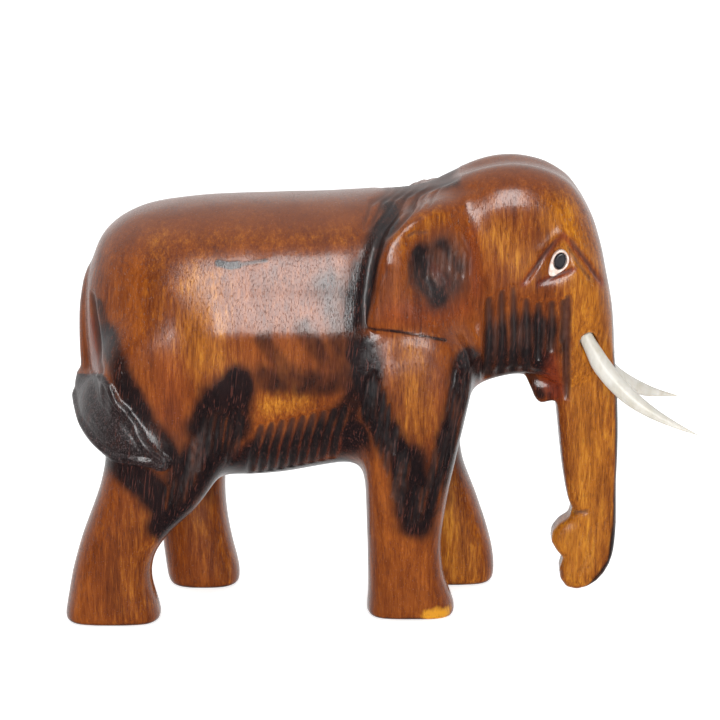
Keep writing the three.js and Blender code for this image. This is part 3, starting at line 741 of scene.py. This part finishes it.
def tusk_material():
    """Polished white horn or resin with faint long streaks."""
    graph = Graph("tusk_white")
    streaks = graph.noise(3, 9, 3, 0.6, 0.4)
    colour = graph.ramp(streaks, (0.3, (0.50, 0.47, 0.40)), (0.65, (0.62, 0.60, 0.55)))
    graph.feed(graph.shader.inputs["Base Color"], colour)
    graph.feed(graph.shader.inputs["Roughness"], graph.math("MULTIPLY_ADD", streaks, 0.15, 0.24))
    graph.feed(graph.shader.inputs["Normal"], graph.bump(graph.noise(0.6, 3, 2), 0.2, 0.08))
    graph.shader.inputs["Subsurface Weight"].default_value = 0.2
    graph.shader.inputs["Subsurface Radius"].default_value = (0.002, 0.0016, 0.0012)
    graph.shader.inputs["Subsurface Scale"].default_value = 1.0
    return graph.material


def eye_white_material():
    """White inlay, pinkish where the stain has crept over its edge."""
    graph = Graph("eye_white")
    cloud = graph.noise(1.6, 1.6, 3, 0.6)
    colour = graph.ramp(cloud, (0.35, (0.56, 0.36, 0.28)), (0.6, (0.76, 0.66, 0.60)))
    graph.feed(graph.shader.inputs["Base Color"], colour)
    graph.feed(graph.shader.inputs["Roughness"], graph.math("MULTIPLY_ADD", cloud, 0.2, 0.25))
    graph.feed(graph.shader.inputs["Normal"], graph.bump(graph.noise(0.5, 0.5, 2), 0.3, 0.05))
    return graph.material


def pupil_material():
    """Black inlay with a faint brown bloom."""
    graph = Graph("pupil_black")
    cloud = graph.noise(1.1, 1.1, 3, 0.6)
    colour = graph.ramp(cloud, (0.35, (0.006, 0.006, 0.009)), (0.7, (0.022, 0.019, 0.022)))
    graph.feed(graph.shader.inputs["Base Color"], colour)
    graph.feed(graph.shader.inputs["Roughness"], graph.math("MULTIPLY_ADD", cloud, 0.2, 0.2))
    graph.feed(graph.shader.inputs["Normal"], graph.bump(graph.noise(0.4, 0.4, 2), 0.25, 0.04))
    return graph.material


def floor_material():
    """Pale matt paper."""
    graph = Graph("pale_paper")
    cloud = graph.noise(300, 300, 3, 0.5)
    colour = graph.ramp(cloud, (0.3, (0.90, 0.90, 0.90)), (0.7, (0.93, 0.93, 0.93)))
    graph.feed(graph.shader.inputs["Base Color"], colour)
    graph.shader.inputs["Roughness"].default_value = 0.9
    graph.shader.inputs["Specular IOR Level"].default_value = 0.1
    graph.shader.inputs["Emission Color"].default_value = (1, 1, 1, 1)
    graph.shader.inputs["Emission Strength"].default_value = 0.6
    return graph.material


# ---------------------------------------------------------------- studio


def build_floor():
    bpy.ops.mesh.primitive_circle_add(vertices=96, radius=8, fill_type="NGON")
    floor = bpy.context.object
    floor.name = "studio_floor"
    floor.data.materials.append(floor_material())
    floor.visible_glossy = False


def light_world():
    """White surroundings behind and above, dim on the camera's side and below."""
    world = bpy.data.worlds.new("studio")
    scene.world = world
    world.use_nodes = True
    tree = world.node_tree
    place = tree.nodes.new("ShaderNodeTexCoord")
    split = tree.nodes.new("ShaderNodeSeparateXYZ")
    dim = tree.nodes.new("ShaderNodeMapRange")
    tree.links.new(place.outputs["Generated"], split.inputs[0])
    rise = tree.nodes.new("ShaderNodeMath")
    rise.operation = "MULTIPLY_ADD"
    tree.links.new(split.outputs["Z"], rise.inputs[0])
    rise.inputs[1].default_value = 0.7
    tree.links.new(split.outputs["Y"], rise.inputs[2])
    tree.links.new(rise.outputs[0], dim.inputs["Value"])
    dim.inputs["From Min"].default_value = -0.6
    dim.inputs["From Max"].default_value = 0.7
    dim.inputs["To Min"].default_value = 0.04
    dim.inputs["To Max"].default_value = 0.95
    background = tree.nodes["Background"]
    tree.links.new(dim.outputs["Result"], background.inputs["Strength"])
    background.inputs["Color"].default_value = (1, 1, 1, 1)


def soft_box(name, azimuth, elevation, distance, size, power):
    """A rectangular lamp aimed at the object's middle. Azimuth 0 is the camera's side, and + is right."""
    target = Vector((0, 0, 0.5 * cad_box[1][2]))
    turn = math.radians(azimuth)
    rise = math.radians(elevation)
    away = Vector((math.sin(turn) * math.cos(rise), -math.cos(turn) * math.cos(rise), math.sin(rise)))
    data = bpy.data.lights.new(name, "AREA")
    data.shape = "RECTANGLE"
    data.size, data.size_y = size
    data.energy = power
    lamp = bpy.data.objects.new(name, data)
    lamp.location = target + away * distance
    lamp.rotation_euler = (-away).to_track_quat("-Z", "Y").to_euler()
    scene.collection.objects.link(lamp)


def add_camera():
    """Level across, looking down a little, from the elephant's right."""
    pitch = math.radians(CAMERA_PITCH)
    away = Vector((0, -math.cos(pitch), math.sin(pitch)))
    data = bpy.data.cameras.new("camera")
    data.lens = CAMERA_LENS
    data.sensor_width = 36
    camera = bpy.data.objects.new("camera", data)
    camera.location = Vector(CAMERA_TARGET) + away * CAMERA_DISTANCE
    camera.rotation_euler = (math.pi / 2 - pitch, 0, 0)
    scene.collection.objects.link(camera)
    scene.camera = camera


# ---------------------------------------------------------------- the whole


scene.view_settings.view_transform = "Standard"
build_block(wood_material())
tusk_white = tusk_material()
eye_white = eye_white_material()
pupil_black = pupil_material()
for side in ("right", "left"):
    for node, name, slot, material, voxel, rounds in (
        ("tusk_", "carved_tusk_", "tusk", tusk_white, TUSK_VOXEL, TUSK_ROUNDS),
        ("eye_white_", "inlaid_white_", "eye_white", eye_white, INLAY_VOXEL, EYE_WHITE_ROUNDS),
        ("pupil_", "inlaid_pupil_", "pupil", pupil_black, INLAY_VOXEL, PUPIL_ROUNDS),
    ):
        build_smooth_copy(node + side, name + side, slot, material, voxel, rounds)
build_floor()
light_world()
soft_box("key", azimuth=2, elevation=19, distance=1.3, size=(0.5, 0.86), power=14)
add_camera()
